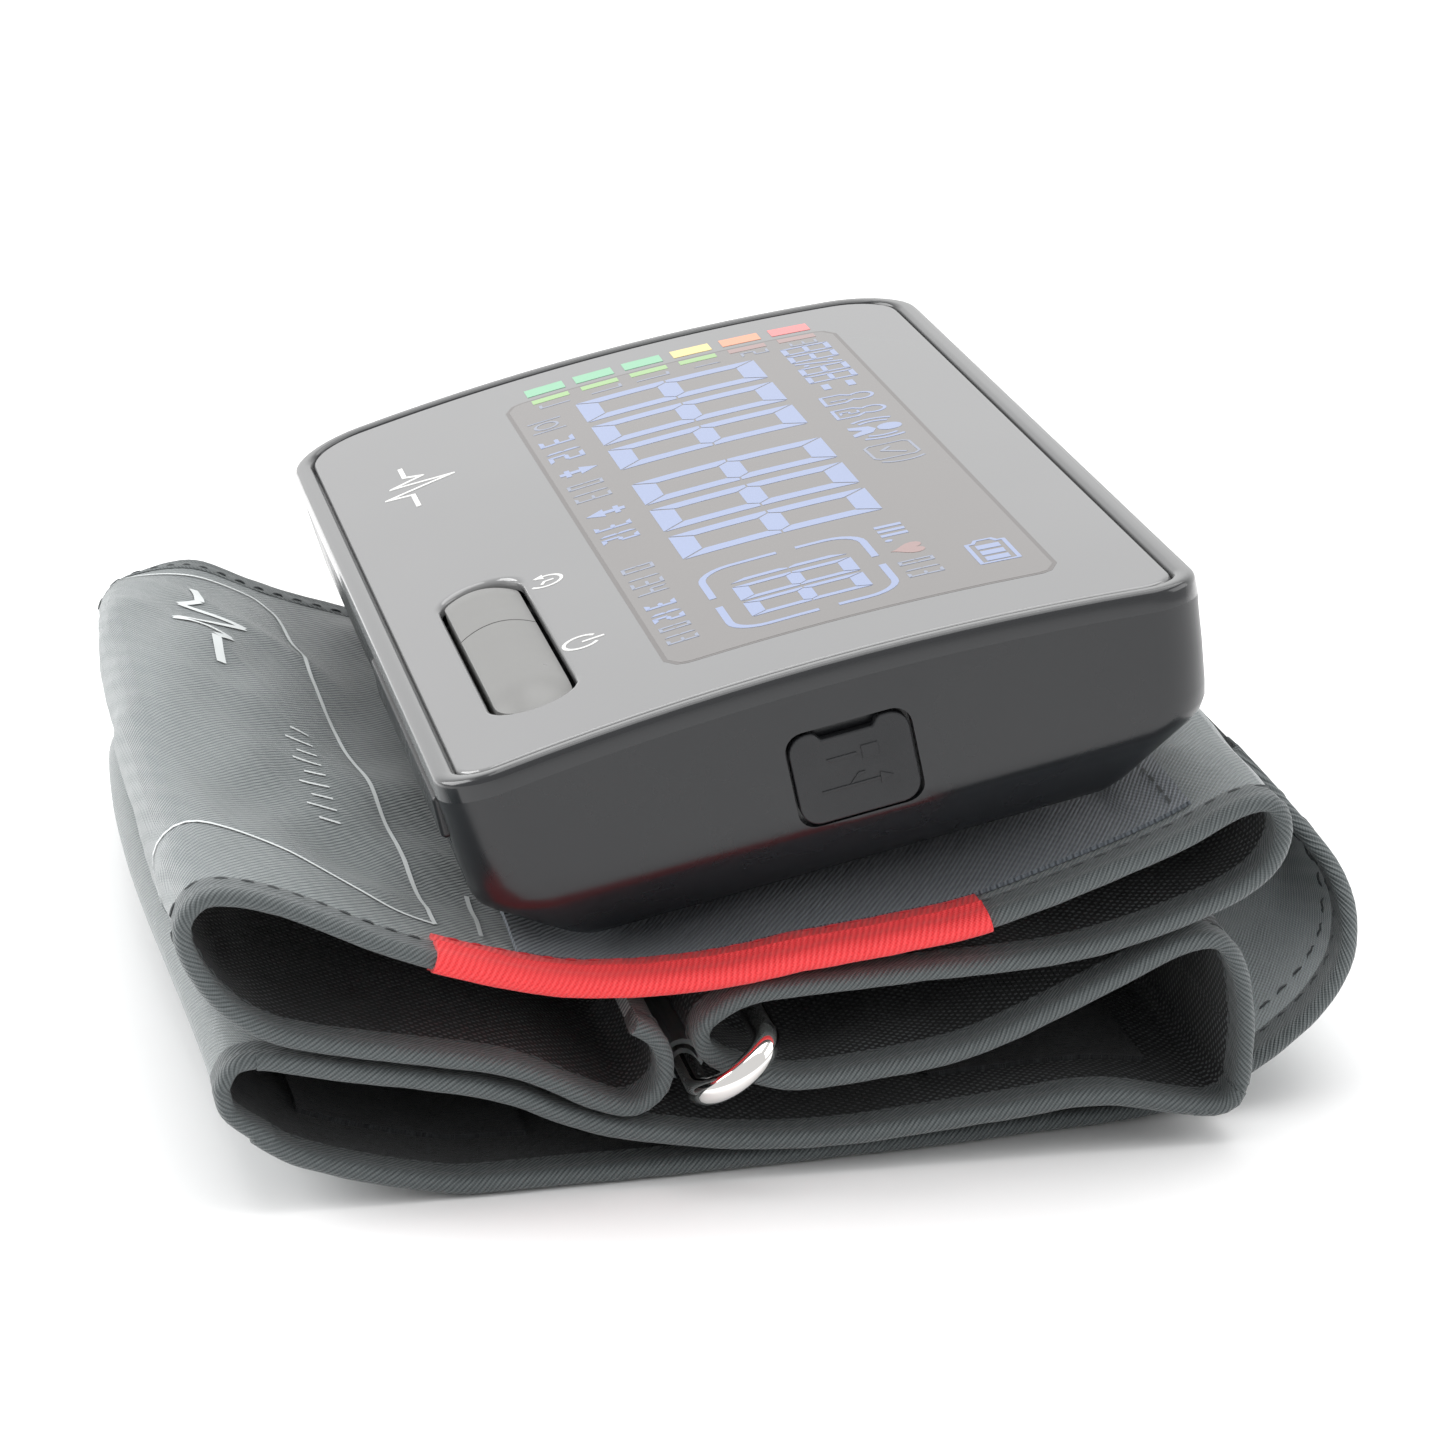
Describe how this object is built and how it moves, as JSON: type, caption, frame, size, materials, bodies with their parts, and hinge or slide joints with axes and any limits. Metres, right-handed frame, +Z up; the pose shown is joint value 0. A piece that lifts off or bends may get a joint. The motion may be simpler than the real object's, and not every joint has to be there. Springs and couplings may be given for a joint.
{
  "type": "upper arm blood pressure monitor",
  "caption": "Upper arm blood pressure monitor with a one-piece display unit tilted on top of its folded fabric cuff with a metal D-ring",
  "frame": {"origin": "Underside of the cuff's lowest layer, under the middle of the monitor's footprint.", "axes": "+Z up. +X along the display's reading direction and across the cuff's width, +Y up the display and along the cuff's strip."},
  "size_m": [0.1409, 0.1177, 0.0568],
  "materials": {
    "panel_acrylic": "gloss",
    "rim_gloss": "gloss",
    "case_satin": "satin",
    "lcd_glass": "gloss",
    "white_plastic": "matte",
    "rubber_black": "matte",
    "key_satin": "satin",
    "board_green": "satin",
    "steel": "satin",
    "chip_black": "matte",
    "foam": "matte",
    "brass": "satin",
    "silicone": "matte",
    "battery_wrap": "satin",
    "patch_blue": "woven",
    "nylon_grey": "woven",
    "mesh_black": "knitted",
    "binding_grey": "woven",
    "bladder_film": "satin",
    "tape_red": "woven",
    "pile_black": "brushed",
    "chrome": "polished"
  },
  "bodies": {
    "monitor_and_cuff": {"front_panel": "panel_acrylic", "top_cover": "rim_gloss", "base_housing": "case_satin", "mount_plate": "case_satin", "lcd_glass": "lcd_glass", "lcd_light_guide": "white_plastic", "lcd_contact_strip": "rubber_black", "main_board": "board_green", "board_screw_1": "steel", "board_screw_2": "steel", "board_screw_3": "steel", "mem_switch_body": "chip_black", "power_switch_body": "chip_black", "processor_chip": "chip_black", "pressure_sensor": "white_plastic", "buzzer": "chip_black", "usb_socket": "steel", "pump_motor": "steel", "pump_sleeve": "foam", "pump_head": "white_plastic", "air_nozzle": "white_plastic", "air_manifold": "white_plastic", "release_valve": "steel", "pump_tube": "silicone", "valve_tube": "silicone", "sensor_tube": "silicone", "battery_cell": "battery_wrap", "battery_pad": "foam", "mount_screw_1": "steel", "mount_screw_2": "steel", "mount_screw_3": "steel", "mount_screw_4": "steel", "mount_patch": "patch_blue", "main_outer_cloth": "nylon_grey", "main_lining": "mesh_black", "main_front_binding": "binding_grey", "main_rear_binding": "binding_grey", "air_bladder": "bladder_film", "artery_marker_tape": "tape_red", "ring_sleeve": "nylon_grey"},
    "mem_button": {"mem_button": "key_satin"},
    "power_button": {"power_button": "key_satin"},
    "mem_switch_stem": {"mem_switch_stem": "white_plastic"},
    "power_switch_stem": {"power_switch_stem": "white_plastic"},
    "usb_port_cover": {"usb_port_cover": "rubber_black"},
    "pump_crank": {"pump_crank": "white_plastic"},
    "valve_plunger": {"valve_plunger": "brass"},
    "d_ring": {"d_ring": "chrome"},
    "fold_panel": {"fold_outer_cloth": "nylon_grey", "fold_lining": "pile_black", "fold_front_binding": "binding_grey", "fold_rear_binding": "binding_grey", "loop_patch": "pile_black"},
    "end_panel": {"end_pile": "pile_black", "end_cloth": "nylon_grey", "end_front_binding": "binding_grey", "end_rear_binding": "binding_grey", "hook_patch": "pile_black"}
  },
  "joints": [
    {"name": "mem_button_slide", "type": "slide", "parent": "monitor_and_cuff", "child": "mem_button", "axis": [0, 0.2198, -0.9755], "range_m": [0, 0.0005]},
    {"name": "power_button_slide", "type": "slide", "parent": "monitor_and_cuff", "child": "power_button", "axis": [0, 0.2198, -0.9755], "range_m": [0, 0.0005]},
    {"name": "mem_stem_slide", "type": "slide", "parent": "monitor_and_cuff", "child": "mem_switch_stem", "axis": [0, 0.2198, -0.9755], "range_m": [0, 0.0005]},
    {"name": "power_stem_slide", "type": "slide", "parent": "monitor_and_cuff", "child": "power_switch_stem", "axis": [0, 0.2198, -0.9755], "range_m": [0, 0.0005]},
    {"name": "usb_cover_hinge", "type": "hinge", "parent": "monitor_and_cuff", "child": "usb_port_cover", "pos_m": [0.06462, 0.00727, 0.03556], "axis": [0, 0.9755, 0.2198], "range_deg": [0, 95]},
    {"name": "pump_crank_spin", "type": "hinge", "parent": "monitor_and_cuff", "child": "pump_crank", "pos_m": [-0.0292, -0.01545, 0.03198], "axis": [1, 0, 0], "continuous": true},
    {"name": "valve_plunger_slide", "type": "slide", "parent": "monitor_and_cuff", "child": "valve_plunger", "axis": [-1, 0, 0], "range_m": [0, 0.0015]},
    {"name": "d_ring_hinge", "type": "hinge", "parent": "monitor_and_cuff", "child": "d_ring", "pos_m": [0, -0.0093, 0.0094], "axis": [1, 0, 0], "range_deg": [-12, 10]},
    {"name": "fold_panel_hinge", "type": "hinge", "parent": "monitor_and_cuff", "child": "fold_panel", "pos_m": [0, 0.0464, 0.0046], "axis": [1, 0, 0], "range_deg": [0, 188]},
    {"name": "end_panel_hinge", "type": "hinge", "parent": "fold_panel", "child": "end_panel", "pos_m": [0, -0.0563, 0.0123], "axis": [1, 0, 0], "range_deg": [-188, 0]}
  ],
  "couplings": [
    {"joint": "mem_stem_slide", "follows": "mem_button_slide", "ratio": 1},
    {"joint": "power_stem_slide", "follows": "power_button_slide", "ratio": 1},
    {"joint": "end_panel_hinge", "follows": "fold_panel_hinge", "ratio": -1}
  ]
}
